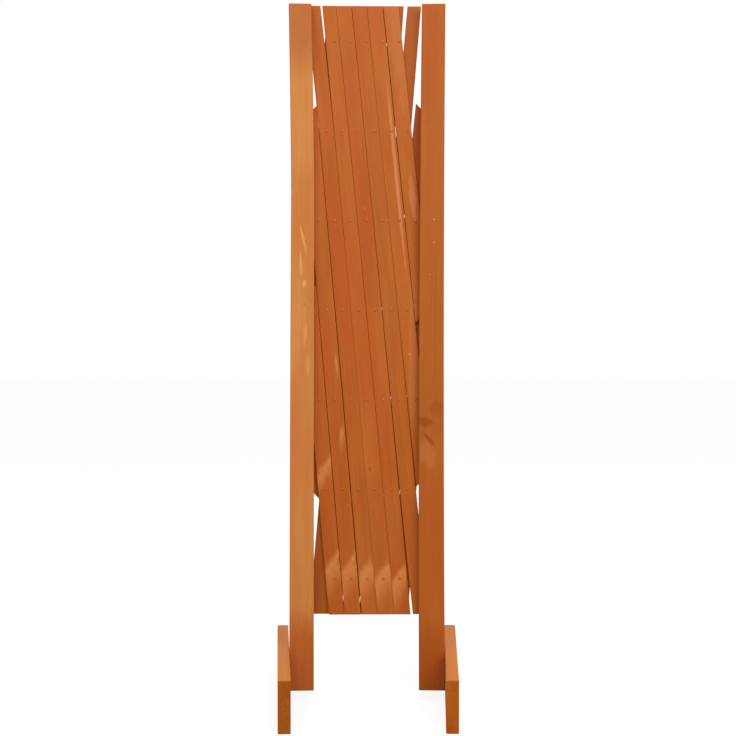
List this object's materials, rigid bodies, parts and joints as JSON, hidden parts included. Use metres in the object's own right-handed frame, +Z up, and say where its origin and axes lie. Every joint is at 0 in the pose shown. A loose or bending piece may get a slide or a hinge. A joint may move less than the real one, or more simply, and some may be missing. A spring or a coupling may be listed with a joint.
{
  "type": "trellis fence panel",
  "caption": "Free-standing folding trellis fence of slanting pinned laths between two posts on long foot boards, shown folded shut.",
  "frame": {"origin": "on the ground, midway between the two end frames and between the foot boards' ends", "axes": "+Z up, +X to the right across the panel seen from the front, -Y towards the front"},
  "size_m": [0.2802, 0.4002, 1],
  "materials": {
    "post_pale_wood": "softwood with a yellowish brown transparent stain, satin, fine straight grain",
    "post_brown_wood": "softwood with an orange brown transparent stain, satin, fine straight grain",
    "foot_wood": "softwood with an orange brown transparent stain, satin, eased edges",
    "lath_wood": "thin softwood laths with an orange brown transparent stain, satin, fine straight grain",
    "pin_steel": "small zinc plated pins, the front heads stained with the wood",
    "screw_steel": "zinc plated wood screws with a cross recess"
  },
  "bodies": {
    "left_end": {"left_post": "post_pale_wood", "left_foot": "foot_wood", "left_foot_screws": "screw_steel", "left_pivot_screw": "screw_steel"},
    "right_end": {"right_post": "post_brown_wood", "right_foot": "foot_wood", "right_foot_screws": "screw_steel", "right_pivot_screw": "screw_steel"},
    "front_lath_1": {"front_lath_1": "lath_wood", "lath_pins_1": "pin_steel"},
    "front_lath_2": {"front_lath_2": "lath_wood", "lath_pins_2": "pin_steel"},
    "front_lath_3": {"front_lath_3": "lath_wood", "lath_pins_3": "pin_steel"},
    "front_lath_4": {"front_lath_4": "lath_wood", "lath_pins_4": "pin_steel"},
    "front_lath_5": {"front_lath_5": "lath_wood", "lath_pins_5": "pin_steel"},
    "front_lath_6": {"front_lath_6": "lath_wood", "lath_pins_6": "pin_steel"},
    "front_lath_7": {"front_lath_7": "lath_wood", "lath_pins_7": "pin_steel"},
    "front_lath_8": {"front_lath_8": "lath_wood", "lath_pins_8": "pin_steel"},
    "rear_lath_1": {"rear_lath_1": "lath_wood"},
    "rear_lath_2": {"rear_lath_2": "lath_wood"},
    "rear_lath_3": {"rear_lath_3": "lath_wood"},
    "rear_lath_4": {"rear_lath_4": "lath_wood"},
    "rear_lath_5": {"rear_lath_5": "lath_wood"},
    "rear_lath_6": {"rear_lath_6": "lath_wood"},
    "rear_lath_7": {"rear_lath_7": "lath_wood"},
    "rear_lath_8": {"rear_lath_8": "lath_wood"}
  },
  "joints": [
    {"name": "fold", "type": "hinge", "parent": "left_end", "child": "front_lath_1", "pos_m": [-0.08153, 0, 0.55948], "axis": [0, -1, 0], "range_deg": [0, 44.86]},
    {"name": "turn_rear_lath_1", "type": "hinge", "parent": "left_end", "child": "rear_lath_1", "pos_m": [-0.08153, 0, 0.55948], "axis": [0, -1, 0], "range_deg": [-44.86, 0]},
    {"name": "turn_rear_lath_2", "type": "hinge", "parent": "front_lath_1", "child": "rear_lath_2", "pos_m": [-0.06988, 0, 0.43], "axis": [0, -1, 0], "range_deg": [-89.72, 0]},
    {"name": "turn_rear_lath_3", "type": "hinge", "parent": "front_lath_1", "child": "rear_lath_3", "pos_m": [-0.05823, 0, 0.30052], "axis": [0, -1, 0], "range_deg": [-89.72, 0]},
    {"name": "turn_rear_lath_4", "type": "hinge", "parent": "front_lath_1", "child": "rear_lath_4", "pos_m": [-0.04659, 0, 0.17105], "axis": [0, -1, 0], "range_deg": [-89.72, 0]},
    {"name": "turn_front_lath_2", "type": "hinge", "parent": "rear_lath_1", "child": "front_lath_2", "pos_m": [-0.06988, 0, 0.68896], "axis": [0, -1, 0], "range_deg": [0, 89.72]},
    {"name": "turn_front_lath_3", "type": "hinge", "parent": "rear_lath_1", "child": "front_lath_3", "pos_m": [-0.05823, 0, 0.81843], "axis": [0, -1, 0], "range_deg": [0, 89.72]},
    {"name": "turn_front_lath_4", "type": "hinge", "parent": "rear_lath_1", "child": "front_lath_4", "pos_m": [-0.04659, 0, 0.94791], "axis": [0, -1, 0], "range_deg": [0, 89.72]},
    {"name": "turn_front_lath_5", "type": "hinge", "parent": "rear_lath_4", "child": "front_lath_5", "pos_m": [0, 0, 0.68896], "axis": [0, -1, 0], "range_deg": [0, 89.72]},
    {"name": "turn_front_lath_6", "type": "hinge", "parent": "rear_lath_4", "child": "front_lath_6", "pos_m": [0.01165, 0, 0.81843], "axis": [0, -1, 0], "range_deg": [0, 89.72]},
    {"name": "turn_front_lath_7", "type": "hinge", "parent": "rear_lath_4", "child": "front_lath_7", "pos_m": [0.02329, 0, 0.94791], "axis": [0, -1, 0], "range_deg": [0, 89.72]},
    {"name": "turn_rear_lath_5", "type": "hinge", "parent": "front_lath_7", "child": "rear_lath_5", "pos_m": [0.03494, 0, 0.81843], "axis": [0, -1, 0], "range_deg": [-89.72, 0]},
    {"name": "turn_rear_lath_6", "type": "hinge", "parent": "front_lath_7", "child": "rear_lath_6", "pos_m": [0.04659, 0, 0.68896], "axis": [0, -1, 0], "range_deg": [-89.72, 0]},
    {"name": "turn_rear_lath_7", "type": "hinge", "parent": "front_lath_7", "child": "rear_lath_7", "pos_m": [0.05823, 0, 0.55948], "axis": [0, -1, 0], "range_deg": [-89.72, 0]},
    {"name": "turn_rear_lath_8", "type": "hinge", "parent": "front_lath_7", "child": "rear_lath_8", "pos_m": [0.06988, 0, 0.43], "axis": [0, -1, 0], "range_deg": [-89.72, 0]},
    {"name": "turn_front_lath_8", "type": "hinge", "parent": "rear_lath_8", "child": "front_lath_8", "pos_m": [0.08153, 0, 0.55948], "axis": [0, -1, 0], "range_deg": [0, 89.72]},
    {"name": "turn_right_end", "type": "hinge", "parent": "rear_lath_8", "child": "right_end", "pos_m": [0.08153, 0, 0.55948], "axis": [0, -1, 0], "range_deg": [0, 44.86]}
  ],
  "couplings": [
    {"joint": "turn_rear_lath_1", "follows": "fold", "ratio": -1},
    {"joint": "turn_rear_lath_2", "follows": "fold", "ratio": -2},
    {"joint": "turn_rear_lath_3", "follows": "fold", "ratio": -2},
    {"joint": "turn_rear_lath_4", "follows": "fold", "ratio": -2},
    {"joint": "turn_front_lath_2", "follows": "fold", "ratio": 2},
    {"joint": "turn_front_lath_3", "follows": "fold", "ratio": 2},
    {"joint": "turn_front_lath_4", "follows": "fold", "ratio": 2},
    {"joint": "turn_front_lath_5", "follows": "fold", "ratio": 2},
    {"joint": "turn_front_lath_6", "follows": "fold", "ratio": 2},
    {"joint": "turn_front_lath_7", "follows": "fold", "ratio": 2},
    {"joint": "turn_rear_lath_5", "follows": "fold", "ratio": -2},
    {"joint": "turn_rear_lath_6", "follows": "fold", "ratio": -2},
    {"joint": "turn_rear_lath_7", "follows": "fold", "ratio": -2},
    {"joint": "turn_rear_lath_8", "follows": "fold", "ratio": -2},
    {"joint": "turn_front_lath_8", "follows": "fold", "ratio": 2},
    {"joint": "turn_right_end", "follows": "fold", "ratio": 1}
  ]
}
